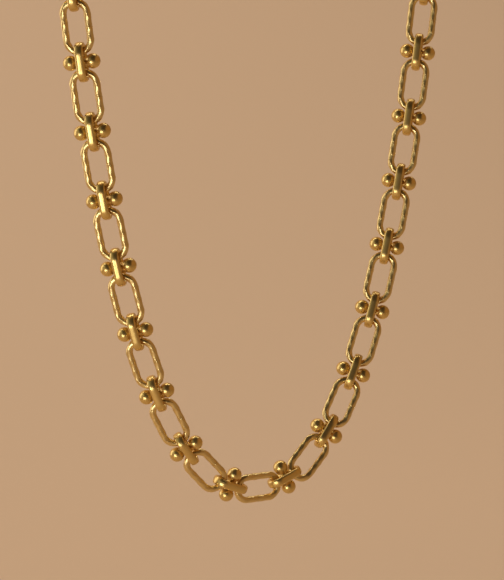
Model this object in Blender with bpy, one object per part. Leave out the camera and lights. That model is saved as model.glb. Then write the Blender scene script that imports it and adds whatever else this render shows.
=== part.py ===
"""A chain necklace hanging closed from its clasp.

The necklace is a loop of long links of notched wire and short polished connectors in turn. A
connector is a narrow loop with a cross bar through its middle and a ball on each end of the bar.
A jump ring at each end leads to a lobster clasp. Twenty-seven links and twenty-six connectors
hang below the clasp: one link at the very bottom, and thirteen pairs up each side.

Metres, +Z up, the wearer's front towards -Y. The origin is under the middle of the clasp, where
the necklace rests on what holds it up. The loop hangs in the XZ plane.
"""

import bpy
import bmesh
import numpy as np
from math import atan2, cos, exp, pi, radians, sin, tanh
from mathutils import Matrix, Vector

MM = 0.001

# Links of notched wire
LINK_LENGTH = 12.75 * MM
LINK_WIDTH = 7.0 * MM
LINK_WIRE = 1.65 * MM
LINK_ARC_STEPS = 5
LINK_SIDES = 6

# Connectors
LOOP_LENGTH = 8.95 * MM
LOOP_DEPTH = 5.3 * MM
BAND_THICKNESS = 1.1 * MM
BAND_WIDTH = 1.95 * MM
LOOP_ARC_STEPS = 5
BAND_SIDES = 8
BALL_DIAMETER = 3.4 * MM
BALL_SPACING = 5.0 * MM
BALL_RINGS = 6
BALL_SEGMENTS = 8
CROSS_BAR_DIAMETER = 1.3 * MM
CROSS_BAR_SIDES = 6
WEB_WIDTH = 1.5 * MM  # the web that ties the cross bar to the loop, inside it
WEB_DEPTH = 4.0 * MM
WEB_HEIGHT = 1.5 * MM

# Jump rings beside the clasp
RING_DIAMETER = 6.3 * MM
RING_WIRE = 1.0 * MM
RING_STEPS = 16
RING_SIDES = 6

# Lobster clasp, lying along X with its claw towards -X
CLASP_REACH = 5.2 * MM  # from its middle to where each jump ring pulls on it
CLAW_INSIDE = 2.0 * MM
CLAW_WIRE = 1.6 * MM
CLAW_ROOT_ANGLE = radians(35)
CLAW_TIP_ANGLE = radians(282)
CLAW_STEPS = 12
EYE_INSIDE = 1.2 * MM
EYE_WIRE = 1.2 * MM
EYE_STEPS = 14
CLASP_SIDES = 8
CLASP_THICKNESS = 2.8 * MM
HUB_LEFT = -1.5 * MM
HUB_RIGHT = 2.7 * MM
HUB_HEIGHT = 4.0 * MM
SLOT_WIDTH = 1.7 * MM
SLOT_TOP = 0.9 * MM
SLOT_RIGHT = 2.1 * MM
TRIGGER_THICKNESS = 1.1 * MM
TRIGGER_ARM = 1.1 * MM
TRIGGER_TIP_ANGLE = radians(-66)
TRIGGER_ROOT_ANGLE = radians(-22)
THUMB_LENGTH = 3.3 * MM
THUMB_WIDTH = 1.2 * MM
THUMB_ANGLE = radians(-48)
BOSS_DIAMETER = 2.2 * MM
PIVOT_X = 0.1 * MM
PIVOT_Z = -0.8 * MM
PIN_DIAMETER = 0.7 * MM
PIN_CLEARANCE = 0.1 * MM
SPRING_WIRE = 0.35 * MM
SPRING_RADIUS = 1.55 * MM
SPRING_FROM = radians(20)
SPRING_TO = radians(95)

# How the necklace hangs
PAIRS_PER_SIDE = 13
CONTACT_GAP = 0.3 * MM
CATENARY = 17.2 * MM  # the curve's radius at its lowest point
BOTTOM_FLAT = 0.3  # how much flatter than that the curve is at the bottom
FLAT_LENGTH = 9 * MM
LINK_LEAN = 0.4  # how far the lowest links hang over towards upright, as a share of the bend
LEAN_FADE = 3  # pieces over which that fades
LEAN_ARM = 3.0 * MM  # from a leaning link's middle down to the point it turns about
BOTTOM_SLIDE = radians(16)  # how far round its end arcs the bottom link hangs
STRAND_ROLL = radians(-40)  # how far the links of the two strands are turned about the chain
ROLL_LENGTH = 32 * MM  # over which that roll fades towards the bottom
ROLL_FADE = 40 * MM  # over which it fades towards the clasp

GOLD = (0.80, 0.56, 0.19, 1.0)
PALE_GOLD = (0.84, 0.62, 0.25, 1.0)
SPRING_STEEL = (0.60, 0.60, 0.62, 1.0)


def clear_scene():
    for old in list(bpy.data.objects):
        bpy.data.objects.remove(old, do_unlink=True)


def material(name, colour, roughness):
    made = bpy.data.materials.new(name)
    made.use_nodes = True
    shader = made.node_tree.nodes["Principled BSDF"]
    shader.inputs["Base Color"].default_value = colour
    shader.inputs["Metallic"].default_value = 1.0
    shader.inputs["Roughness"].default_value = roughness
    return made


def stadium(length, width, arc_steps):
    """Points and outward normals round a closed oval with straight sides, its length along Z and
    its width along X. The straight sides are the two long gaps between the arcs."""
    radius = width / 2
    shift = length / 2 - radius
    angles = np.linspace(0, pi, arc_steps + 1)
    turns = np.concatenate([angles, angles + pi])
    lift = np.repeat([shift, -shift], arc_steps + 1)
    normals = np.stack([np.cos(turns), 0 * turns, np.sin(turns)], axis=1)
    points = radius * normals + np.stack([0 * turns, 0 * turns, lift], axis=1)
    return points, normals


def superellipse(width, height, sides, power):
    """A rounded section: 2 is an ellipse, and more is squarer. It starts half a side round, so
    that it has flats and not corners on its axes."""
    turns = (np.arange(sides) + 0.5) * 2 * pi / sides
    c, s = np.cos(turns), np.sin(turns)
    u = width / 2 * np.sign(c) * np.abs(c) ** (2 / power)
    v = height / 2 * np.sign(s) * np.abs(s) ** (2 / power)
    return u, v


def sweep(points, normals, u, v, closed=True):
    """Wire along a path in XZ: the section's u runs along the path's normals and v along Y."""
    rings, sides = len(points), len(u)
    across = np.array([0.0, 1.0, 0.0])
    rows = points[:, None] + normals[:, None] * u[None, :, None] + across * v[None, :, None]
    faces = [
        (
            i * sides + j,
            (i + 1) % rings * sides + j,
            (i + 1) % rings * sides + (j + 1) % sides,
            i * sides + (j + 1) % sides,
        )
        for i in range(rings if closed else rings - 1)
        for j in range(sides)
    ]
    if not closed:
        faces += [tuple(range(sides)), tuple(reversed(range((rings - 1) * sides, rings * sides)))]
    return rows.reshape(-1, 3), faces


def arc(centre_x, centre_z, radius, start, end, steps):
    """Points and outward normals along an arc in XZ, its angles counted from +X towards +Z."""
    turns = np.linspace(start, end, steps + 1)
    normals = np.stack([np.cos(turns), 0 * turns, np.sin(turns)], axis=1)
    return radius * normals + np.array([centre_x, 0.0, centre_z]), normals


def full_ring(centre_x, radius, steps, section):
    """A round ring of wire in XZ."""
    points, normals = arc(centre_x, 0.0, radius, 0.0, 2 * pi * (1 - 1 / steps), steps - 1)
    return sweep(points, normals, *section)


def plate(outline, thickness):
    """A flat piece in XZ, its outline given as (x, z) points in order."""
    count = len(outline)
    vertices = [(x, side * thickness / 2, z) for side in (-1, 1) for x, z in outline]
    sides = [(i, (i + 1) % count, count + (i + 1) % count, count + i) for i in range(count)]
    caps = [tuple(range(count)), tuple(range(2 * count - 1, count - 1, -1))]
    return np.array(vertices), sides + caps


def rounded_outline(left, right, bottom, top, radius, steps=3):
    """A rectangle in XZ with rounded corners."""
    corners = [(right, top, 0), (left, top, 1), (left, bottom, 2), (right, bottom, 3)]
    outline = []
    for x, z, quarter in corners:
        inner_x = x - radius if x == right else x + radius
        inner_z = z - radius if z == top else z + radius
        points, _ = arc(inner_x, inner_z, radius, quarter * pi / 2, (quarter + 1) * pi / 2, steps)
        outline += [(p[0], p[2]) for p in points]
    return outline


def finished(name, vertices, faces):
    """A mesh with its faces pointing out and its round parts shaded smooth."""
    mesh = bpy.data.meshes.new(name)
    mesh.from_pydata([tuple(p) for p in vertices], [], faces)
    tidy = bmesh.new()
    tidy.from_mesh(mesh)
    bmesh.ops.recalc_face_normals(tidy, faces=tidy.faces)
    tidy.to_mesh(mesh)
    tidy.free()
    mesh.shade_smooth()
    mesh.set_sharp_from_angle(angle=radians(50))
    return mesh


def sphere(radius, segments, rings):
    """Vertices and faces of a ball with its poles on Z."""
    ball = bmesh.new()
    bmesh.ops.create_uvsphere(ball, u_segments=segments, v_segments=rings, radius=radius)
    return from_bmesh(ball)


def cylinder(radius, length, sides):
    """Vertices and faces of a rod along Z, its middle at the origin."""
    rod = bmesh.new()
    bmesh.ops.create_cone(
        rod, cap_ends=True, segments=sides, radius1=radius, radius2=radius, depth=length
    )
    return from_bmesh(rod)


def from_bmesh(shape):
    vertices = np.array([v.co[:] for v in shape.verts])
    faces = [tuple(v.index for v in f.verts) for f in shape.faces]
    shape.free()
    return vertices, faces


def combined(name, first, others, operation="UNION"):
    """The first shape with each of the others joined to it, or cut from it."""
    work = bpy.data.objects.new(name, finished(name, *first))
    bpy.context.scene.collection.objects.link(work)
    for shape in others:
        tool = bpy.data.objects.new("tool", finished("tool", *shape))
        bpy.context.scene.collection.objects.link(tool)
        step = work.modifiers.new("step", "BOOLEAN")
        step.operation = operation
        step.object = tool
        step.solver = "EXACT"
        evaluated = work.evaluated_get(bpy.context.evaluated_depsgraph_get())
        mesh = bpy.data.meshes.new_from_object(evaluated)
        work.modifiers.remove(step)
        work.data = mesh
        bpy.data.objects.remove(tool)
    mesh = work.data
    mesh.name = name
    bpy.data.objects.remove(work)
    return mesh


def as_shape(mesh):
    vertices = np.array([v.co[:] for v in mesh.vertices])
    return vertices, [tuple(p.vertices) for p in mesh.polygons]


def turned(shape, axis, angle):
    vertices, faces = shape
    turn = np.array(Matrix.Rotation(angle, 3, axis))
    return vertices @ turn.T, faces


def moved(shape, x, y, z):
    vertices, faces = shape
    return vertices + np.array([x, y, z]), faces


def link_mesh():
    """A long oval of wire in its own XZ plane."""
    points, normals = stadium(LINK_LENGTH - LINK_WIRE, LINK_WIDTH - LINK_WIRE, LINK_ARC_STEPS)
    section = superellipse(LINK_WIRE, LINK_WIRE, LINK_SIDES, 2)
    return finished("link", *sweep(points, normals, *section))


def connector_mesh():
    """A loop in its own YZ plane, with a web across it and a bar along X that carries two balls."""
    loop_length = LOOP_LENGTH - BAND_THICKNESS
    points, normals = stadium(loop_length, LOOP_DEPTH - BAND_THICKNESS, LOOP_ARC_STEPS)
    section = superellipse(BAND_THICKNESS, BAND_WIDTH, BAND_SIDES, 2)
    loop = turned(sweep(points, normals, *section), "Z", pi / 2)
    bar = turned(cylinder(CROSS_BAR_DIAMETER / 2, BALL_SPACING, CROSS_BAR_SIDES), "Y", pi / 2)
    half = WEB_HEIGHT / 2
    corners = [(-half, -0.8 * half), (-half, 0.8 * half), (half, 0.8 * half), (half, -0.8 * half)]
    web, web_faces = plate(corners, WEB_DEPTH)
    web = web * np.array([WEB_WIDTH / WEB_HEIGHT, 1.0, 1.0])
    ball = turned(sphere(BALL_DIAMETER / 2, BALL_SEGMENTS, BALL_RINGS), "Y", pi / 2)
    balls = [moved(ball, side * BALL_SPACING / 2, 0, 0) for side in (-1, 1)]
    return combined("connector", loop, [(web, web_faces), bar, *balls])


def ring_mesh():
    """A jump ring in its own YZ plane."""
    section = superellipse(RING_WIRE, RING_WIRE, RING_SIDES, 2)
    ring = full_ring(0.0, (RING_DIAMETER - RING_WIRE) / 2, RING_STEPS, section)
    return finished("ring", *turned(ring, "Z", pi / 2))


def clasp_body_mesh():
    """Claw, hub and eye in the XZ plane, with the slot for the trigger and the bore for its pin."""
    inner_wall = CLASP_REACH + CONTACT_GAP / 2
    claw_x = CLAW_INSIDE - inner_wall
    path = arc(
        claw_x, 0.0, CLAW_INSIDE + CLAW_WIRE / 2, CLAW_ROOT_ANGLE, CLAW_TIP_ANGLE, CLAW_STEPS
    )
    section = superellipse(CLAW_WIRE, CLASP_THICKNESS, CLASP_SIDES, 2.4)
    claw = sweep(*path, *section, closed=False)
    eye_section = superellipse(EYE_WIRE, EYE_WIRE, CLASP_SIDES, 2)
    eye_x = inner_wall - EYE_INSIDE
    eye = full_ring(eye_x, EYE_INSIDE + EYE_WIRE / 2, EYE_STEPS, eye_section)
    half = HUB_HEIGHT / 2
    hub = plate(rounded_outline(HUB_LEFT, HUB_RIGHT, -half, half, 0.9 * MM), CLASP_THICKNESS)
    body = combined("clasp_body", claw, [hub, eye])
    far = 5 * MM
    slot_outline = rounded_outline(HUB_LEFT - far, SLOT_RIGHT, -far, SLOT_TOP, 0.5 * MM)
    bounds = [(max(x, claw_x + CLAW_INSIDE * 0.2), z) for x, z in slot_outline]
    bore = cylinder((PIN_DIAMETER / 2 + PIN_CLEARANCE), 2 * CLASP_THICKNESS, 12)
    bore = moved(turned(bore, "X", pi / 2), PIVOT_X, 0, PIVOT_Z)
    return combined("clasp_body", as_shape(body), [plate(bounds, SLOT_WIDTH), bore], "DIFFERENCE")


def trigger_mesh():
    """The lever, with its origin on the pin's axis: an arm that closes the claw, and a thumb
    piece that stands out below the hub."""
    claw_x = CLAW_INSIDE - CLASP_REACH - CONTACT_GAP / 2
    middle = CLAW_INSIDE + CLAW_WIRE / 2
    outer, _ = arc(claw_x, 0.0, middle + TRIGGER_ARM / 2, TRIGGER_TIP_ANGLE, TRIGGER_ROOT_ANGLE, 5)
    inner, _ = arc(claw_x, 0.0, middle - TRIGGER_ARM / 2, TRIGGER_ROOT_ANGLE, TRIGGER_TIP_ANGLE, 5)
    arm = plate([(p[0] - PIVOT_X, p[2] - PIVOT_Z) for p in (*outer, *inner)], TRIGGER_THICKNESS)
    boss = turned(cylinder(BOSS_DIAMETER / 2, TRIGGER_THICKNESS * 1.1, 14), "X", pi / 2)
    half = THUMB_WIDTH / 2
    outline = rounded_outline(0.0, THUMB_LENGTH, -half, half, half * 0.9)
    thumb = plate(outline, TRIGGER_THICKNESS * 0.9)
    thumb = turned(thumb, "Y", -THUMB_ANGLE)
    lever = combined("clasp_trigger", boss, [arm, thumb])
    bore = turned(cylinder(PIN_DIAMETER / 2 + 2 * PIN_CLEARANCE, 2 * CLASP_THICKNESS, 12), "X", pi / 2)
    return combined("clasp_trigger", as_shape(lever), [bore], "DIFFERENCE")


def build_clasp(polished, steel):
    height = HUB_HEIGHT / 2
    place("clasp_body", clasp_body_mesh(), polished, z=height)
    trigger = place("clasp_trigger", trigger_mesh(), polished, PIVOT_X, height + PIVOT_Z)
    trigger.rotation_euler = (0.0, 0.0, 0.0)
    pin = finished("pin", *turned(cylinder(PIN_DIAMETER / 2, CLASP_THICKNESS, 12), "X", pi / 2))
    place("clasp_pin", pin, polished, PIVOT_X, height + PIVOT_Z)
    section = superellipse(SPRING_WIRE, SPRING_WIRE * 2, 6, 2)
    path = arc(0.0, 0.0, SPRING_RADIUS - SPRING_WIRE / 2, SPRING_FROM, SPRING_TO, 6)
    spring = finished("spring", *sweep(*path, *section, closed=False))
    place("clasp_spring", spring, steel, PIVOT_X, height + PIVOT_Z)


def heading(distance, lift_off, half_length):
    """The chain's slope at a distance up one side from the bottom: a catenary, and from where
    the chain lifts off it, an even bend over the neck."""
    hanging = atan2(min(distance, lift_off), CATENARY)
    hanging *= 1 - BOTTOM_FLAT * exp(-((distance / FLAT_LENGTH) ** 2))
    wrap = (pi - atan2(lift_off, CATENARY)) / (half_length - lift_off)
    return hanging + max(0.0, distance - lift_off) * wrap


def roll(distance, half_length):
    """How far the pieces are turned about the chain, at a distance up one side."""
    rises, falls = distance / ROLL_LENGTH, (half_length - distance) / ROLL_FADE
    return STRAND_ROLL * tanh(rises) * tanh(falls)


def strand():
    """(kind, distance between its two contacts) for each piece up one side, without the bottom
    link and the clasp."""
    link = LINK_LENGTH - 2 * LINK_WIRE - CONTACT_GAP
    loop = LOOP_LENGTH - 2 * BAND_THICKNESS - CONTACT_GAP
    ring = RING_DIAMETER - 2 * RING_WIRE - CONTACT_GAP
    return [("connector", loop), ("link", link)] * PAIRS_PER_SIDE + [("ring", ring)]


def climb(lift_off):
    """Each piece up the right-hand side, as (kind, middle's x, middle's z, slope, roll), and the
    last contact's x and z. The bottom link's middle is at x = z = 0."""
    pieces = strand()
    arc_radius = LINK_WIDTH / 2 - LINK_WIRE - CONTACT_GAP / 2
    x = pieces[1][1] / 2 - arc_radius * (1 - cos(BOTTOM_SLIDE))
    z = arc_radius * sin(BOTTOM_SLIDE)
    distance, found = x, []
    half_length = x + sum(length for _, length in pieces) + CLASP_REACH
    for kind, length in pieces:
        middle = distance + length / 2
        slope = heading(middle, lift_off, half_length)
        step_x, step_z = length * cos(slope), length * sin(slope)
        found.append((kind, x + step_x / 2, z + step_z / 2, slope, roll(middle, half_length)))
        x, z, distance = x + step_x, z + step_z, distance + length
    return found, x, z


def slid(pieces):
    """Each piece with how far it is moved off its contacts along its own X and Y, and how far it
    leans: where the chain bends, the wires slide round each other's ends."""
    slopes = [0.0, *(slope for _, _, _, slope, _ in pieces), pi]
    link_radius = LINK_WIDTH / 2 - LINK_WIRE
    loop_radius = LOOP_DEPTH / 2 - BAND_THICKNESS
    found = []
    for index, (kind, x, z, slope, turn) in enumerate(pieces):
        bend = (slopes[index + 2] - slopes[index]) / 2
        lean, slide = 0.0, (0.0, -loop_radius * sin(bend * sin(turn)))
        if kind == "link":
            lean = LINK_LEAN * bend * exp(-index / LEAN_FADE)
            slide = (link_radius * sin(bend * cos(turn)) - LEAN_ARM * sin(lean), 0.0)
        found.append((kind, x, z, slope, turn, slide, lean))
    return found


def hang():
    """The pieces and height for the lift-off point at which the strand meets the clasp."""
    low, high = 100 * MM, 180 * MM
    for _ in range(40):
        lift_off = (low + high) / 2
        found, x, z = climb(lift_off)
        low, high = (lift_off, high) if x < CLASP_REACH else (low, lift_off)
    return slid(found), z


def place(name, mesh, finish, x=0.0, z=0.0, tilt=0.0, turn=0.0, slide=(0.0, 0.0)):
    """A new object of this mesh, its own Z leaning by tilt towards +X, turned about its own Z and
    then moved along its own X and Y."""
    item = bpy.data.objects.new(name, mesh)
    if not mesh.materials:
        mesh.materials.append(finish)
    lean = Matrix.Rotation(tilt, 3, "Y") @ Matrix.Rotation(turn, 3, "Z")
    item.rotation_euler = lean.to_euler()
    item.location = Vector((x, 0.0, z)) + lean @ Vector((*slide, 0.0))
    bpy.context.scene.collection.objects.link(item)
    return item


def build_chain(top, pieces, notched, polished):
    meshes = {"link": link_mesh(), "connector": connector_mesh(), "ring": ring_mesh()}
    finishes = {"link": notched, "connector": polished, "ring": polished}
    drop = HUB_HEIGHT / 2 - top
    place("bottom_link", meshes["link"], notched, z=drop, tilt=pi / 2)
    for side, letter in ((1, "r"), (-1, "l")):
        counts = dict.fromkeys(meshes, 0)
        for kind, x, z, slope, turn, slide, lean in pieces:
            counts[kind] += 1
            name = f"{kind}_{letter}{counts[kind]:02d}"
            if kind == "ring":
                name = "tail_ring" if side > 0 else "end_ring"
            tilt = side * (pi / 2 - slope - lean)
            slide = (side * slide[0], side * slide[1])
            place(name, meshes[kind], finishes[kind], side * x, z + drop, tilt, turn, slide)


def main():
    clear_scene()
    notched = material("notched_gold", PALE_GOLD, 0.22)
    polished = material("polished_gold", GOLD, 0.10)
    steel = material("spring_steel", SPRING_STEEL, 0.30)
    pieces, top = hang()
    build_clasp(polished, steel)
    build_chain(top, pieces, notched, polished)


main()
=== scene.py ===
"""The look of the chain necklace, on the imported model's frame.

Metres, +Z up, the wearer's front towards -Y, the origin under the middle of the clasp.
"""

from math import atan2, cos, exp, pi, radians, sin, tanh

import bmesh
import bpy
import numpy as np
from mathutils import Matrix, Vector


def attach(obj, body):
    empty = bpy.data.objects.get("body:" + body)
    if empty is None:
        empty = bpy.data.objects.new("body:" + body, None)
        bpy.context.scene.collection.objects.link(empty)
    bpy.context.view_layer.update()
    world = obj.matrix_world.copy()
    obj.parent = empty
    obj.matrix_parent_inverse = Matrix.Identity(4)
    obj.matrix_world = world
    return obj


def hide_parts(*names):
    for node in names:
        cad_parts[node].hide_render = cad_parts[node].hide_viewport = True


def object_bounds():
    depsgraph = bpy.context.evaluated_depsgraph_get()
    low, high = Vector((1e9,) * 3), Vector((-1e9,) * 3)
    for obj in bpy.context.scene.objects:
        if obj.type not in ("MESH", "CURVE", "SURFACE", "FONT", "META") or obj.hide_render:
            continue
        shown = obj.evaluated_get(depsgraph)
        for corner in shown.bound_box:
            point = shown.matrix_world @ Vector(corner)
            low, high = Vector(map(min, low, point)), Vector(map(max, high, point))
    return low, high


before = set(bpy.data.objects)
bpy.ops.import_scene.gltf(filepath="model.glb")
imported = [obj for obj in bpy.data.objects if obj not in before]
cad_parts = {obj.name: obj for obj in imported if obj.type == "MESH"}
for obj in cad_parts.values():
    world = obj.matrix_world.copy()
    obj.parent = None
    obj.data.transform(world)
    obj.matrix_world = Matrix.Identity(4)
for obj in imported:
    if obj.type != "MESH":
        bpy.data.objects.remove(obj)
cad_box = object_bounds()

MM = 0.001

# The same sizes as the frame's
LINK_LENGTH = 12.75 * MM
LINK_WIDTH = 7.0 * MM
LINK_WIRE = 1.65 * MM
LOOP_LENGTH = 8.95 * MM
LOOP_DEPTH = 5.3 * MM
BAND_THICKNESS = 1.1 * MM
BAND_WIDTH = 1.95 * MM
BALL_DIAMETER = 3.4 * MM
BALL_SPACING = 5.0 * MM
RING_DIAMETER = 6.3 * MM
RING_WIRE = 1.0 * MM
CLASP_REACH = 5.2 * MM
CLAW_INSIDE = 2.0 * MM
CLAW_WIRE = 1.6 * MM
CLAW_ROOT_ANGLE = radians(35)
CLAW_TIP_ANGLE = radians(282)
EYE_INSIDE = 1.2 * MM
EYE_WIRE = 1.2 * MM
CLASP_THICKNESS = 2.8 * MM
HUB_LEFT = -1.5 * MM
HUB_RIGHT = 2.7 * MM
HUB_HEIGHT = 4.0 * MM
SLOT_WIDTH = 1.7 * MM
SLOT_TOP = 0.9 * MM
SLOT_RIGHT = 2.1 * MM
TRIGGER_THICKNESS = 1.1 * MM
TRIGGER_ARM = 1.1 * MM
TRIGGER_TIP_ANGLE = radians(-66)
TRIGGER_ROOT_ANGLE = radians(-22)
THUMB_LENGTH = 3.3 * MM
THUMB_WIDTH = 1.2 * MM
THUMB_ANGLE = radians(-48)
BOSS_DIAMETER = 2.2 * MM
PIVOT_X = 0.1 * MM
PIVOT_Z = -0.8 * MM
PIN_DIAMETER = 0.7 * MM
PIN_CLEARANCE = 0.1 * MM
SPRING_WIRE = 0.35 * MM
SPRING_RADIUS = 1.55 * MM
SPRING_FROM = radians(20)
SPRING_TO = radians(95)
PAIRS_PER_SIDE = 13
CONTACT_GAP = 0.3 * MM
CATENARY = 17.2 * MM
BOTTOM_FLAT = 0.3
FLAT_LENGTH = 9 * MM
LINK_LEAN = 0.4
LEAN_ARM = 3.0 * MM
LEAN_FADE = 3
BOTTOM_SLIDE = radians(16)
STRAND_ROLL = radians(-40)
ROLL_LENGTH = 32 * MM
ROLL_FADE = 40 * MM

# Finer things, which only the eye needs
FACETS = 4  # flats round the links' wire
TWISTS = 11  # facet steps that the wire turns through in one round of a link
FACET_DEPTH = 0.09  # how far the middle of a flat lies below the ridges, in wire radii
RIDGE_FROM = 0.4  # where a ridge begins, from 0 at the middle of a flat to 1 at its edge
NICK_DEPTH = 0.07  # in wire radii
NICK_SHARE = 0.25  # the part of a wave's height that a nick takes up: smaller is shorter
BAND_POWER = 2.5  # the loop's section: 2 is an ellipse, and more is squarer
BALL_ROOT_ANGLE = radians(21)  # where the bar meets the ball
BAR_NECK = ((0.05, 0.0), (0.13, 0.05), (0.22, 0.16))  # mm from the ball, mm thicker
BAR_FLARE = 0.18 * MM  # how much thicker the bar is at its middle
BAR_MIDDLE = 0.2 * MM
WEB_HALF = (0.72 * MM, 0.70 * MM)  # the web's half width and half height
WEB_SWELL = (0.14 * MM, 0.40 * MM)  # added to them where the web meets the loop
WEB_OVERLAP = 0.25 * MM  # how deep the web's ends sit in the loop
BAR_SHADE_REACH = 1.5 * MM  # how far from the middle of the bar the painted shade ends
BAR_SHADE_FADE = 0.6 * MM
BAND_LIGHT = 0.3  # how much of the loop's inner face the painted shade leaves out
RING_SEAM = 0.1 * MM  # the line where a jump ring's ends meet
SEAM_PINCH = 0.93
CLAW_STEPS = 48
CLAW_TAPER = ((0, 30, 46, 48), (1.0, 0.97, 0.80, 0.66))  # steps, and the wire's share there
CLAW_POWER = 2.3
EYE_TURN = 2 * pi * 0.999  # a hair short of a full round, so that the ends don't coincide
HUB_CORNER = 1.0 * MM
SLOT_CORNER = 0.5 * MM
SLOT_OVERCUT = 5 * MM
PIN_HOLE_SLACK = 0.02 * MM
TRIGGER_STEPS = 16
SPRING_STEPS = 40
SPRING_POWER = 2.5

LINK_STEPS = 264
WIRE_SIDES = 32
BAND_STEPS = 96
BAND_SIDES = 24
WEB_STEPS = 17
BALL_STEPS = 20
LATHE_SIDES = 40
RING_STEPS = 96
RING_SIDES = 16


# ---------------------------------------------------------------- where the pieces are


def heading(distance, lift_off, half_length):
    """The slope at a distance from the bottom: a catenary, flattened at its lowest point, and
    beyond the lift-off an even arc over to the clasp."""
    hanging = atan2(min(distance, lift_off), CATENARY)
    hanging *= 1 - BOTTOM_FLAT * exp(-((distance / FLAT_LENGTH) ** 2))
    wrap = (pi - atan2(lift_off, CATENARY)) / (half_length - lift_off)
    return hanging + max(0.0, distance - lift_off) * wrap


def strand():
    """(kind, length between contacts) of the pieces up one side."""
    link = LINK_LENGTH - 2 * LINK_WIRE - CONTACT_GAP
    loop = LOOP_LENGTH - 2 * BAND_THICKNESS - CONTACT_GAP
    ring = RING_DIAMETER - 2 * RING_WIRE - CONTACT_GAP
    return [("connector", loop), ("link", link)] * PAIRS_PER_SIDE + [("ring", ring)]


def climb(lift_off):
    """(kind, x, z, slope, turn) of each piece up one side, and the last contact's x and z."""
    pieces = strand()
    arc_radius = LINK_WIDTH / 2 - LINK_WIRE - CONTACT_GAP / 2
    x = pieces[1][1] / 2 - arc_radius * (1 - cos(BOTTOM_SLIDE))
    z = arc_radius * sin(BOTTOM_SLIDE)
    distance, found = x, []
    half_length = x + sum(length for _, length in pieces) + CLASP_REACH
    for kind, length in pieces:
        middle = distance + length / 2
        slope = heading(middle, lift_off, half_length)
        turn = STRAND_ROLL * tanh(middle / ROLL_LENGTH)
        turn *= tanh((half_length - middle) / ROLL_FADE)
        step_x, step_z = length * cos(slope), length * sin(slope)
        found.append((kind, x + step_x / 2, z + step_z / 2, slope, turn))
        x, z, distance = x + step_x, z + step_z, distance + length
    return found, x, z


def slid(pieces):
    """Each piece with how far it is moved along its own X and Y, and leans, at a bend."""
    slopes = [0.0, *(slope for _, _, _, slope, _ in pieces), pi]
    link_radius = LINK_WIDTH / 2 - LINK_WIRE
    loop_radius = LOOP_DEPTH / 2 - BAND_THICKNESS
    found = []
    for index, (kind, x, z, slope, turn) in enumerate(pieces):
        bend = (slopes[index + 2] - slopes[index]) / 2
        lean, slide = 0.0, (0.0, -loop_radius * sin(bend * sin(turn)))
        if kind == "link":
            lean = LINK_LEAN * bend * exp(-index / LEAN_FADE)
            slide = (link_radius * sin(bend * cos(turn)) - LEAN_ARM * sin(lean), 0.0)
        found.append((kind, x, z, slope, turn, slide, lean))
    return found


def hang():
    """Each piece up one side, from the lift-off that brings the last one to the clasp, and the
    height of its last contact."""
    low, high = 100 * MM, 180 * MM
    for _ in range(40):
        lift_off = (low + high) / 2
        found, x, z = climb(lift_off)
        low, high = (lift_off, high) if x < CLASP_REACH else (low, lift_off)
    return slid(found), z


def upright(x, z, tilt, turn, slide=(0.0, 0.0)):
    """The frame of a piece whose own Z leans by tilt towards +X, turned about its own Z and then
    moved along its own X and Y."""
    return (
        Matrix.Translation((x, 0.0, z))
        @ Matrix.Rotation(tilt, 4, "Y")
        @ Matrix.Rotation(turn, 4, "Z")
        @ Matrix.Translation((*slide, 0.0))
    )


# ---------------------------------------------------------------- mesh tools


def stadium_path(length, width, steps):
    """Evenly spaced points round a closed oval in XZ, from the middle of its right side upwards,
    with their outward normals and shares of the way round."""
    radius = width / 2
    straight = length - width
    total = 2 * straight + 2 * pi * radius
    along = np.arange(steps) * total / steps
    points, normals = np.zeros((steps, 3)), np.zeros((steps, 3))
    for i, s in enumerate(along):
        if s < straight / 2:
            p, n = (radius, s), (1, 0)
        elif s < straight / 2 + pi * radius:
            a = (s - straight / 2) / radius
            p, n = (radius * cos(a), straight / 2 + radius * sin(a)), (cos(a), sin(a))
        elif s < straight * 1.5 + pi * radius:
            p, n = (-radius, straight / 2 - (s - straight / 2 - pi * radius)), (-1, 0)
        elif s < straight * 1.5 + 2 * pi * radius:
            a = pi + (s - straight * 1.5 - pi * radius) / radius
            p, n = (radius * cos(a), -straight / 2 + radius * sin(a)), (cos(a), sin(a))
        else:
            p, n = (radius, s - total), (1, 0)
        points[i] = (p[0], 0, p[1])
        normals[i] = (n[0], 0, n[1])
    return points, normals, along / total


def make_mesh(name, vertices, faces, sharp=60):
    mesh = bpy.data.meshes.new(name)
    mesh.from_pydata([tuple(v) for v in vertices], [], faces)
    work = bmesh.new()
    work.from_mesh(mesh)
    bmesh.ops.recalc_face_normals(work, faces=work.faces)
    work.to_mesh(mesh)
    work.free()
    mesh.shade_smooth()
    mesh.set_sharp_from_angle(angle=radians(sharp))
    return mesh


def tube_faces(rings, sides, closed=True):
    """The faces of a tube of rings; an open tube gets its two ends, which come last."""
    faces = [
        (
            i * sides + j,
            (i + 1) % rings * sides + j,
            (i + 1) % rings * sides + (j + 1) % sides,
            i * sides + (j + 1) % sides,
        )
        for i in range(rings if closed else rings - 1)
        for j in range(sides)
    ]
    if not closed:
        faces.append(tuple(range(sides)))
        faces.append(tuple((rings - 1) * sides + j for j in reversed(range(sides))))
    return faces


def join(*parts):
    """(vertices, faces) of several shapes together."""
    vertices, faces, base = [], [], 0
    for v, f in parts:
        vertices.append(np.asarray(v))
        faces += [tuple(i + base for i in face) for face in f]
        base += len(v)
    return np.concatenate(vertices), faces


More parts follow.
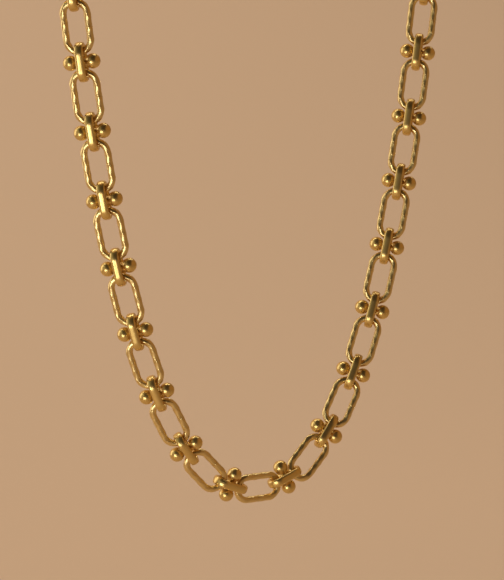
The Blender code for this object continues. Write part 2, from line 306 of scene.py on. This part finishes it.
def lathe(profile, sides):
    """A turned solid about X from (x, radius) points; the first and last have radius 0."""
    angles = np.arange(sides) * 2 * pi / sides
    rows = [
        np.stack([np.full(sides, x), r * np.cos(angles), r * np.sin(angles)], axis=1)
        for x, r in profile[1:-1]
    ]
    vertices = np.concatenate(rows + [[(profile[0][0], 0, 0)], [(profile[-1][0], 0, 0)]])
    rings = len(rows)
    faces = tube_faces(rings, sides, closed=False)[:-2]
    first, last = rings * sides, rings * sides + 1
    faces += [(first, (j + 1) % sides, j) for j in range(sides)]
    end = (rings - 1) * sides
    faces += [(last, end + j, end + (j + 1) % sides) for j in range(sides)]
    return vertices, faces


def keep_shade(mesh, values):
    """A colour attribute that is 1 in the recesses, where the materials paint shade by darkening the
    base colour.
    """
    layer = mesh.color_attributes.new("painted_shade", "FLOAT_COLOR", "POINT")
    v = np.clip(values, 0, 1)
    layer.data.foreach_set("color", np.stack([v, v, v, np.ones_like(v)], axis=1).ravel())


def sweep(points, normals, u, v):
    """An open length of wire in XZ; u runs along the path's normals and v along Y, one row of
    each for every point of the path."""
    across = np.array([0.0, 1.0, 0.0])
    rows = points[:, None] + normals[:, None] * u[:, :, None] + across * v[:, :, None]
    return rows.reshape(-1, 3), tube_faces(len(points), u.shape[1], closed=False)


def arc(centre_x, centre_z, radius, start, end, steps):
    turns = np.linspace(start, end, steps + 1)
    normals = np.stack([np.cos(turns), 0 * turns, np.sin(turns)], axis=1)
    return radius * normals + np.array([centre_x, 0.0, centre_z]), normals


def rounded(width, height, sides, power, scales):
    """Rows of a rounded section, one for each scale."""
    turns = np.arange(sides) * 2 * pi / sides
    c, s = np.cos(turns), np.sin(turns)
    u = width / 2 * np.sign(c) * np.abs(c) ** (2 / power)
    v = height / 2 * np.sign(s) * np.abs(s) ** (2 / power)
    return np.outer(scales, u), np.outer(scales, v)


def plate(outline, thickness):
    count = len(outline)
    vertices = [(x, side * thickness / 2, z) for side in (-1, 1) for x, z in outline]
    sides = [(i, (i + 1) % count, count + (i + 1) % count, count + i) for i in range(count)]
    caps = [tuple(range(count)), tuple(range(2 * count - 1, count - 1, -1))]
    return np.array(vertices), sides + caps


def rounded_outline(left, right, bottom, top, radius, steps=8):
    corners = [(right, top, 0), (left, top, 1), (left, bottom, 2), (right, bottom, 3)]
    outline = []
    for x, z, quarter in corners:
        inner_x = x - radius if x == right else x + radius
        inner_z = z - radius if z == top else z + radius
        points, _ = arc(inner_x, inner_z, radius, quarter * pi / 2, (quarter + 1) * pi / 2, steps)
        outline += [(p[0], p[2]) for p in points]
    return outline


def moved(shape, x, z):
    return shape[0] + np.array([x, 0.0, z]), shape[1]


def rod(radius, length, sides=32):
    """A plain rod along Y, for boring holes and for bosses."""
    turns = np.arange(sides) * 2 * pi / sides
    ring = np.stack([radius * np.cos(turns), 0 * turns, radius * np.sin(turns)], axis=1)
    ends = np.concatenate([ring + [0, -length / 2, 0], ring + [0, length / 2, 0]])
    return ends, tube_faces(2, sides, closed=False)


def cast(name, base, adds, cuts, voxel, rounding, share):
    """Shapes melted together, others cut away, and every edge rounded as a casting's is."""
    scene = bpy.context.scene
    work = bpy.data.objects.new(name, make_mesh(name, *base))
    scene.collection.objects.link(work)
    tools = []
    for shape, operation in [(a, "UNION") for a in adds] + [(c, "DIFFERENCE") for c in cuts]:
        tool = bpy.data.objects.new("tool", make_mesh("tool", *shape))
        scene.collection.objects.link(tool)
        tools.append(tool)
        step = work.modifiers.new("step", "BOOLEAN")
        step.operation, step.object, step.solver = operation, tool, "EXACT"
    melt = work.modifiers.new("melt", "REMESH")
    melt.mode, melt.voxel_size = "VOXEL", voxel
    ease = work.modifiers.new("ease", "SMOOTH")
    ease.factor, ease.iterations = 0.5, rounding
    thin = work.modifiers.new("thin", "DECIMATE")
    thin.ratio = share
    evaluated = work.evaluated_get(bpy.context.evaluated_depsgraph_get())
    mesh = bpy.data.meshes.new_from_object(evaluated)
    for item in (*tools, work):
        bpy.data.objects.remove(item)
    mesh.name = name
    mesh.shade_smooth()
    keep_shade(mesh, np.zeros(len(mesh.vertices)))
    return mesh


# ---------------------------------------------------------------- the pieces' shapes


def notched_link():
    """An oval of four-sided wire, twisted as it goes round, with a nick across each ridge."""
    points, normals, turn = stadium_path(LINK_LENGTH - LINK_WIRE, LINK_WIDTH - LINK_WIRE, LINK_STEPS)
    local = np.arange(WIRE_SIDES) * 2 * pi / WIRE_SIDES
    off_middle = 2 * ((local * FACETS / (2 * pi)) % 1.0) - 1
    flat = 1 - FACET_DEPTH * (1 - off_middle**2)
    ridge = np.clip((np.abs(off_middle) - RIDGE_FROM) / (1 - RIDGE_FROM), 0, 1)
    across = np.array([0.0, 1.0, 0.0])
    rows, nick_shade = [], []
    for p, n, t in zip(points, normals, turn):
        # two nicks to a facet step, and those of neighbouring ridges half a nick apart
        phase = 2 * pi * (2 * TWISTS * t + local / pi)
        nick = np.clip(np.cos(phase) - (1 - NICK_SHARE), 0, None) / NICK_SHARE
        radius = LINK_WIRE / 2 * (flat - NICK_DEPTH * nick * ridge)
        a = local - t * TWISTS * 2 * pi / FACETS
        rows.append(p + n * (radius * np.cos(a))[:, None] + across * (radius * np.sin(a))[:, None])
        # painted shade in the nicks across the ridges
        nick_shade.append(nick * ridge)
    mesh = make_mesh(
        "notched_link", np.concatenate(rows), tube_faces(LINK_STEPS, WIRE_SIDES), sharp=75
    )
    keep_shade(mesh, np.concatenate(nick_shade))
    return mesh


def connector():
    """A domed loop in the YZ plane, a web across its slot, and a ball each side on a cross bar."""
    points, normals, _ = stadium_path(
        LOOP_LENGTH - BAND_THICKNESS, LOOP_DEPTH - BAND_THICKNESS, BAND_STEPS
    )
    section = rounded(BAND_THICKNESS, BAND_WIDTH, BAND_SIDES, BAND_POWER, np.ones(BAND_STEPS))
    band, _ = sweep(points, normals, *section)
    # from the XZ plane to the YZ plane
    band = np.stack([-band[:, 1], band[:, 0], band[:, 2]], axis=1)
    ball, at = BALL_DIAMETER / 2, BALL_SPACING / 2
    turns = np.linspace(0.0, pi - BALL_ROOT_ANGLE, BALL_STEPS)
    half = [(at + ball * cos(a), ball * sin(a)) for a in turns]
    x_in, r_in = half[-1]
    half += [(x_in - away * MM, r_in + thicker * MM) for away, thicker in BAR_NECK]
    half.append((BAR_MIDDLE, r_in + BAR_FLARE))
    bar = lathe(half + [(-x, r) for x, r in reversed(half)], LATHE_SIDES)
    # the web swells where it meets the loop, as a casting does
    reach = LOOP_DEPTH / 2 - BAND_THICKNESS + WEB_OVERLAP
    outline_x, outline_z = rounded(2.0, 2.0, BAND_SIDES, 2.5, [1.0])
    rows = []
    for y in np.linspace(-1, 1, WEB_STEPS):
        half_width, half_height = (h + swell * y**4 for h, swell in zip(WEB_HALF, WEB_SWELL))
        x, z = half_width * outline_x[0], half_height * outline_z[0]
        rows.append(np.stack([x, np.full(BAND_SIDES, y * reach), z], axis=1))
    web = (np.concatenate(rows), tube_faces(WEB_STEPS, BAND_SIDES, closed=False))
    vertices, faces = join((band, tube_faces(BAND_STEPS, BAND_SIDES)), bar, web)
    mesh = make_mesh("connector", vertices, faces, sharp=70)
    # painted shade on the loop's inner face and on the middle of the bar, where they lie in recesses
    inwards = -np.cos(np.arange(BAND_SIDES) * 2 * pi / BAND_SIDES)
    middle = (BAR_SHADE_REACH - np.abs(vertices[len(band) :, 0])) / BAR_SHADE_FADE
    keep_shade(mesh, np.concatenate([np.tile(inwards - BAND_LIGHT, BAND_STEPS), middle]))
    return mesh


def jump_ring():
    """A round wire ring with the fine line where its ends meet."""
    radius = (RING_DIAMETER - RING_WIRE) / 2
    gap = RING_SEAM / 2 / radius
    turns = np.arange(RING_SIDES) * 2 * pi / RING_SIDES
    rows = []
    for i, a in enumerate(np.linspace(gap, 2 * pi - gap, RING_STEPS)):
        n = np.array([0.0, cos(a), sin(a)])
        wire = RING_WIRE / 2 * (SEAM_PINCH if i in (0, RING_STEPS - 1) else 1.0)
        ring = n * radius + np.outer(np.cos(turns), n) * wire
        ring[:, 0] += np.sin(turns) * wire
        rows.append(ring)
    faces = tube_faces(RING_STEPS, RING_SIDES, closed=False)
    mesh = make_mesh("jump_ring", np.concatenate(rows), faces)
    keep_shade(mesh, np.zeros(RING_STEPS * RING_SIDES))
    return mesh


def clasp_body():
    """The claw, the hub and the eye in one, with the trigger's slot and the pin's hole."""
    wall = CLASP_REACH + CONTACT_GAP / 2
    claw_x = CLAW_INSIDE - wall
    claw_middle = CLAW_INSIDE + CLAW_WIRE / 2
    path = arc(claw_x, 0, claw_middle, CLAW_ROOT_ANGLE, CLAW_TIP_ANGLE, CLAW_STEPS)
    taper = np.interp(np.arange(CLAW_STEPS + 1), *CLAW_TAPER)
    claw = sweep(*path, *rounded(CLAW_WIRE, CLASP_THICKNESS, 24, CLAW_POWER, taper))
    eye_path = arc(wall - EYE_INSIDE, 0, EYE_INSIDE + EYE_WIRE / 2, 0, EYE_TURN, CLAW_STEPS)
    eye = sweep(*eye_path, *rounded(EYE_WIRE, EYE_WIRE, 20, 2, np.ones(CLAW_STEPS + 1)))
    half = HUB_HEIGHT / 2
    hub = plate(rounded_outline(HUB_LEFT, HUB_RIGHT, -half, half, HUB_CORNER), CLASP_THICKNESS)
    left, bottom = HUB_LEFT - SLOT_OVERCUT, -SLOT_OVERCUT
    slot_outline = rounded_outline(left, SLOT_RIGHT, bottom, SLOT_TOP, SLOT_CORNER)
    slot = plate([(max(x, claw_x + CLAW_INSIDE * 0.2), z) for x, z in slot_outline], SLOT_WIDTH)
    hole = rod(PIN_DIAMETER / 2 + PIN_HOLE_SLACK, 2 * CLASP_THICKNESS)
    cuts = [slot, moved(hole, PIVOT_X, PIVOT_Z)]
    return cast("clasp_body", claw, [hub, eye], cuts, voxel=0.07 * MM, rounding=5, share=0.4)


def clasp_trigger():
    """The lever, about the pin's axis."""
    claw_x = CLAW_INSIDE - CLASP_REACH - CONTACT_GAP / 2
    middle = CLAW_INSIDE + CLAW_WIRE / 2
    ends, half_arm = (TRIGGER_TIP_ANGLE, TRIGGER_ROOT_ANGLE), TRIGGER_ARM / 2
    outer, _ = arc(claw_x, 0, middle + half_arm, *ends, TRIGGER_STEPS)
    inner, _ = arc(claw_x, 0, middle - half_arm, *reversed(ends), TRIGGER_STEPS)
    arm = plate([(p[0] - PIVOT_X, p[2] - PIVOT_Z) for p in (*outer, *inner)], TRIGGER_THICKNESS)
    half = THUMB_WIDTH / 2
    outline = rounded_outline(0.0, THUMB_LENGTH, -half, half, half * 0.95)
    lean = Matrix.Rotation(THUMB_ANGLE, 2)
    thumb = plate([tuple(lean @ Vector(p)) for p in outline], TRIGGER_THICKNESS * 0.9)
    boss = rod(BOSS_DIAMETER / 2, TRIGGER_THICKNESS * 1.1)
    bore = rod(PIN_DIAMETER / 2 + PIN_CLEARANCE, 2 * CLASP_THICKNESS)
    adds = [arm, thumb]
    return cast("clasp_trigger", boss, adds, [bore], voxel=0.05 * MM, rounding=4, share=0.4)


def clasp_pin():
    """A rod with its ends peened over into the hub's cheeks."""
    half, r = CLASP_THICKNESS / 2, PIN_DIAMETER / 2
    edge = [(half, 0.0), (half - 0.01 * MM, r * 0.6), (half - 0.06 * MM, r * 0.9), (half * 0.9, r)]
    vertices, faces = lathe(edge + [(-x, radius) for x, radius in reversed(edge)], 32)
    vertices = np.stack([vertices[:, 1], vertices[:, 0], vertices[:, 2]], axis=1)
    mesh = make_mesh("clasp_pin", vertices, faces)
    keep_shade(mesh, np.zeros(len(vertices)))
    return mesh


def clasp_spring():
    """The bowed leaf that pushes the trigger shut, its ends turned smooth."""
    path = arc(0, 0, SPRING_RADIUS - SPRING_WIRE / 2, SPRING_FROM, SPRING_TO, SPRING_STEPS)
    along = np.arange(SPRING_STEPS + 1)
    ends = np.minimum(along, SPRING_STEPS - along) / 3
    scale = np.sqrt(np.clip(1 - (1 - np.clip(ends, 0, 1)) ** 2, 0.04, 1))
    section = rounded(SPRING_WIRE, 2 * SPRING_WIRE, 16, SPRING_POWER, scale)
    vertices, faces = sweep(*path, *section)
    mesh = make_mesh("clasp_spring", vertices, faces)
    keep_shade(mesh, np.zeros(len(vertices)))
    return mesh


# ---------------------------------------------------------------- materials

CLOUD_SCALE = 420.0  # waves in a metre
HAIRLINE_SCALE = 900.0
HAIRLINE_STRETCH = (1.0, 1.0, 0.18)
HAIRLINE_TURN = (0.2, 0.5, 0.9)
# how far the painted shade in the recesses darkens the base colour
PAINTED_SHADE_STRENGTH = 0.75
GRAIN_HEIGHT = 0.02 * MM


def add_node(nodes, kind, **settings):
    node = nodes.new(kind)
    for key, value in settings.items():
        setattr(node, key, value)
    return node


def metal(name, bright, deep, shade_colour, roughness, grain):
    """Polished metal: a faint clouding between two colours, painted shade that darkens the recesses
    towards a dark colour, hairlines between two roughnesses, and a very fine unevenness of the
    surface."""
    made = bpy.data.materials.new(name)
    made.use_nodes = True
    nodes, links = made.node_tree.nodes, made.node_tree.links
    shader = nodes["Principled BSDF"]
    shader.inputs["Metallic"].default_value = 1.0
    place = add_node(nodes, "ShaderNodeTexCoord")
    cloud = add_node(nodes, "ShaderNodeTexNoise")
    cloud.inputs["Scale"].default_value = CLOUD_SCALE
    cloud.inputs["Detail"].default_value = 4.0
    links.new(place.outputs["Object"], cloud.inputs["Vector"])
    ramp = add_node(nodes, "ShaderNodeValToRGB")
    ramp.color_ramp.elements[0].position = 0.32
    ramp.color_ramp.elements[0].color = (*deep, 1)
    ramp.color_ramp.elements[1].position = 0.68
    ramp.color_ramp.elements[1].color = (*bright, 1)
    links.new(cloud.outputs["Fac"], ramp.inputs["Fac"])
    # painted shade: where the shade attribute is high, the base colour is mixed towards the dark
    # colour
    painted_shade = add_node(nodes, "ShaderNodeAttribute", attribute_name="painted_shade")
    mix = add_node(nodes, "ShaderNodeMix", data_type="RGBA")
    amount = add_node(nodes, "ShaderNodeMath", operation="MULTIPLY")
    amount.inputs[1].default_value = PAINTED_SHADE_STRENGTH
    links.new(painted_shade.outputs["Fac"], amount.inputs[0])
    links.new(amount.outputs[0], mix.inputs["Factor"])
    links.new(ramp.outputs["Color"], mix.inputs["A"])
    mix.inputs["B"].default_value = (*shade_colour, 1)
    links.new(mix.outputs["Result"], shader.inputs["Base Color"])
    hairlines = add_node(nodes, "ShaderNodeTexNoise")
    hairlines.inputs["Scale"].default_value = HAIRLINE_SCALE
    hairlines.inputs["Detail"].default_value = 6.0
    hairlines.inputs["Roughness"].default_value = 0.7
    stretch = add_node(nodes, "ShaderNodeMapping")
    stretch.inputs["Scale"].default_value = HAIRLINE_STRETCH
    stretch.inputs["Rotation"].default_value = HAIRLINE_TURN
    links.new(place.outputs["Object"], stretch.inputs["Vector"])
    links.new(stretch.outputs["Vector"], hairlines.inputs["Vector"])
    rough = add_node(nodes, "ShaderNodeMapRange")
    rough.inputs["From Min"].default_value = 0.3
    rough.inputs["From Max"].default_value = 0.75
    rough.inputs["To Min"].default_value, rough.inputs["To Max"].default_value = roughness
    links.new(hairlines.outputs["Fac"], rough.inputs["Value"])
    links.new(rough.outputs["Result"], shader.inputs["Roughness"])
    bump = add_node(nodes, "ShaderNodeBump")
    bump.inputs["Strength"].default_value = grain
    bump.inputs["Distance"].default_value = GRAIN_HEIGHT
    links.new(hairlines.outputs["Fac"], bump.inputs["Height"])
    links.new(bump.outputs["Normal"], shader.inputs["Normal"])


# ---------------------------------------------------------------- build


# each metal's dark colour is the painted shade of its recesses
metal(
    "polished_gold",
    bright=(0.88, 0.68, 0.32),
    deep=(0.76, 0.55, 0.21),
    shade_colour=(0.20, 0.08, 0.02),
    roughness=(0.03, 0.09),
    grain=0.10,
)
metal(
    "notched_gold",
    bright=(0.90, 0.72, 0.36),
    deep=(0.78, 0.57, 0.23),
    shade_colour=(0.26, 0.12, 0.03),
    roughness=(0.05, 0.13),
    grain=0.20,
)
metal(
    "spring_steel",
    bright=(0.66, 0.65, 0.63),
    deep=(0.50, 0.49, 0.48),
    shade_colour=(0.20, 0.18, 0.16),
    roughness=(0.20, 0.36),
    grain=0.30,
)
meshes = {"link": notched_link(), "connector": connector(), "ring": jump_ring()}
finishes = {"link": "notched_gold", "connector": "polished_gold", "ring": "polished_gold"}


def put(mesh, finish, node, body, matrix):
    """A copy of the mesh at its place, kept inside the frame's box, in the stead of the node."""
    own = mesh.copy()
    own.transform(matrix)
    points = np.empty(3 * len(own.vertices), dtype=np.float32)
    own.vertices.foreach_get("co", points)
    inside = np.clip(points.reshape(-1, 3), *cad_box)
    own.vertices.foreach_set("co", inside.ravel())
    own.materials.append(bpy.data.materials[finish])
    item = bpy.data.objects.new(f"{node}_look", own)
    bpy.context.scene.collection.objects.link(item)
    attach(item, body)
    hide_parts(node)


pieces, top = hang()
drop = HUB_HEIGHT / 2 - top
put(meshes["link"], "notched_gold", "bottom_link", "bottom_link", upright(0, drop, pi / 2, 0))
for side, letter in ((1, "r"), (-1, "l")):
    counts = dict.fromkeys(meshes, 0)
    for kind, x, z, slope, turn, slide, lean in pieces:
        counts[kind] += 1
        node = f"{kind}_{letter}{counts[kind]:02d}"
        if kind == "ring":
            node = "tail_ring" if side > 0 else "end_ring"
        slide = (side * slide[0], side * slide[1])
        matrix = upright(side * x, z + drop, side * (pi / 2 - slope - lean), turn, slide)
        put(meshes[kind], finishes[kind], node, node, matrix)

hub_z = HUB_HEIGHT / 2
at_pin = Matrix.Translation((PIVOT_X, 0, hub_z + PIVOT_Z))
put(clasp_body(), "polished_gold", "clasp_body", "clasp", Matrix.Translation((0, 0, hub_z)))
put(clasp_trigger(), "polished_gold", "clasp_trigger", "clasp_trigger", at_pin)
put(clasp_pin(), "polished_gold", "clasp_pin", "clasp", at_pin)
put(clasp_spring(), "spring_steel", "clasp_spring", "clasp", at_pin)

# ---------------------------------------------------------------- studio

FLOOR_DROP = 0.28  # how far the floor lies under the chain
FLOOR_REACH = 14.0
WALL_Y = 1.9
WALL_CURVE = 0.9
WALL_TOP = 2.4
PAPER = (0.56, 0.40, 0.26)
PAPER_GLOW = 0.30
DAYLIGHT = (0.95, 0.97, 1.0)
LAMPLIGHT = (1.0, 0.93, 0.84)
MIDDLE = Vector((0.0, 0.0, -0.11))


def stage_material(name, colour, roughness, glow):
    made = bpy.data.materials.new(name)
    made.use_nodes = True
    shader = made.node_tree.nodes["Principled BSDF"]
    shader.inputs["Base Color"].default_value = (*colour, 1)
    shader.inputs["Roughness"].default_value = roughness
    shader.inputs["Emission Color"].default_value = (*colour, 1)
    shader.inputs["Emission Strength"].default_value = glow
    return made


def sweep_floor():
    """A pale floor that curves up into a wall behind."""
    floor_z = cad_box[0][2] - FLOOR_DROP
    rows = [(-FLOOR_REACH, floor_z)]
    rows += [
        (WALL_Y - WALL_CURVE * (1 - sin(a)), floor_z + WALL_CURVE * (1 - cos(a)))
        for a in np.linspace(0, pi / 2, 13)
    ]
    rows.append((WALL_Y, WALL_TOP))
    vertices = [(x, y, z) for y, z in rows for x in (-FLOOR_REACH, FLOOR_REACH)]
    faces = [(2 * i, 2 * i + 1, 2 * i + 3, 2 * i + 2) for i in range(len(rows) - 1)]
    mesh = make_mesh("studio_floor", vertices, faces, sharp=60)
    mesh.materials.append(stage_material("studio_paper", PAPER, 0.9, PAPER_GLOW))
    item = bpy.data.objects.new("studio_floor", mesh)
    bpy.context.scene.collection.objects.link(item)


def lamp(name, place, aim, size, power, colour):
    """A softbox of the given width and height in metres, and power in watts."""
    data = bpy.data.lights.new(name, "AREA")
    data.shape = "RECTANGLE"
    data.size, data.size_y = size
    data.energy = power
    data.color = colour
    item = bpy.data.objects.new(name, data)
    item.location = place
    item.rotation_euler = (Vector(aim) - Vector(place)).to_track_quat("-Z", "Y").to_euler()
    bpy.context.scene.collection.objects.link(item)


def around(bearing, rise, distance):
    """A place seen from the middle of the chain, its bearing counted from straight in front,
    round towards +X."""
    a, e = radians(bearing), radians(rise)
    return Vector((sin(a) * cos(e), -cos(a) * cos(e), sin(e))) * distance + MIDDLE


def studio_air(base, sides):
    """The light that comes from the room: a dim base, and a soft patch of colour to each side,
    given as (bearing, rise, edge, full, colour): the patch begins at an angle of edge from its
    middle, and has its whole colour from full inwards."""
    world = bpy.data.worlds.new("studio_air")
    world.use_nodes = True
    nodes, links = world.node_tree.nodes, world.node_tree.links
    place = add_node(nodes, "ShaderNodeTexCoord")
    colour = None
    for bearing, rise, edge, full, patch in sides:
        towards = around(bearing, rise, 1.0) - MIDDLE
        facing = add_node(nodes, "ShaderNodeVectorMath", operation="DOT_PRODUCT")
        facing.inputs[1].default_value = towards
        links.new(place.outputs["Generated"], facing.inputs[0])
        amount = add_node(nodes, "ShaderNodeMapRange", interpolation_type="SMOOTHSTEP")
        amount.inputs["From Min"].default_value = cos(radians(edge))
        amount.inputs["From Max"].default_value = cos(radians(full))
        links.new(facing.outputs["Value"], amount.inputs["Value"])
        mix = add_node(nodes, "ShaderNodeMix", data_type="RGBA")
        mix.inputs["A"].default_value = (*base, 1)
        if colour is not None:
            links.new(colour, mix.inputs["A"])
        mix.inputs["B"].default_value = (*patch, 1)
        links.new(amount.outputs["Result"], mix.inputs["Factor"])
        colour = mix.outputs["Result"]
    links.new(colour, nodes["Background"].inputs["Color"])
    bpy.context.scene.world = world


sweep_floor()
lamp("key", around(-134, 12, 0.56), MIDDLE, (0.34, 0.56), 0.80, DAYLIGHT)
lamp("window", around(-65, -15, 0.60), MIDDLE, (0.028, 0.22), 0.60, DAYLIGHT)
lamp("window_low", around(-47, -17, 0.60), MIDDLE, (0.022, 0.16), 0.32, DAYLIGHT)
lamp("wall_wash", (0.3, 0.75, 1.5), (0.6, WALL_Y, 0.0), (2.4, 0.5), 21.0, LAMPLIGHT)
warm_side = (62, 0, 66, 50, (0.33, 0.18, 0.075))
cool_side = (-118, 5, 60, 34, (0.42, 0.40, 0.30))
studio_air((0.016, 0.009, 0.006), [warm_side, cool_side])
bpy.context.scene.view_settings.view_transform = "Standard"

# ---------------------------------------------------------------- camera

AZIMUTH, ELEVATION, LEAN = radians(-31.77), radians(7.84), radians(-0.15)
DISTANCE = 578.2 * MM
LENS = 154.955  # mm, on the 36 mm sensor
AIM = Vector((-1.4 * MM, 0.0, -123.56 * MM))

camera_data = bpy.data.cameras.new("camera")
camera_data.sensor_width = 36.0
camera_data.lens = LENS
camera = bpy.data.objects.new("camera", camera_data)
away = Vector(
    (sin(AZIMUTH) * cos(ELEVATION), -cos(AZIMUTH) * cos(ELEVATION), sin(ELEVATION))
)
camera.location = AIM + away * DISTANCE
look = away.to_track_quat("Z", "Y").to_matrix().to_4x4()
camera.matrix_world = (
    Matrix.Translation(camera.location) @ look @ Matrix.Rotation(LEAN, 4, "Z")
)
bpy.context.scene.collection.objects.link(camera)
bpy.context.scene.camera = camera
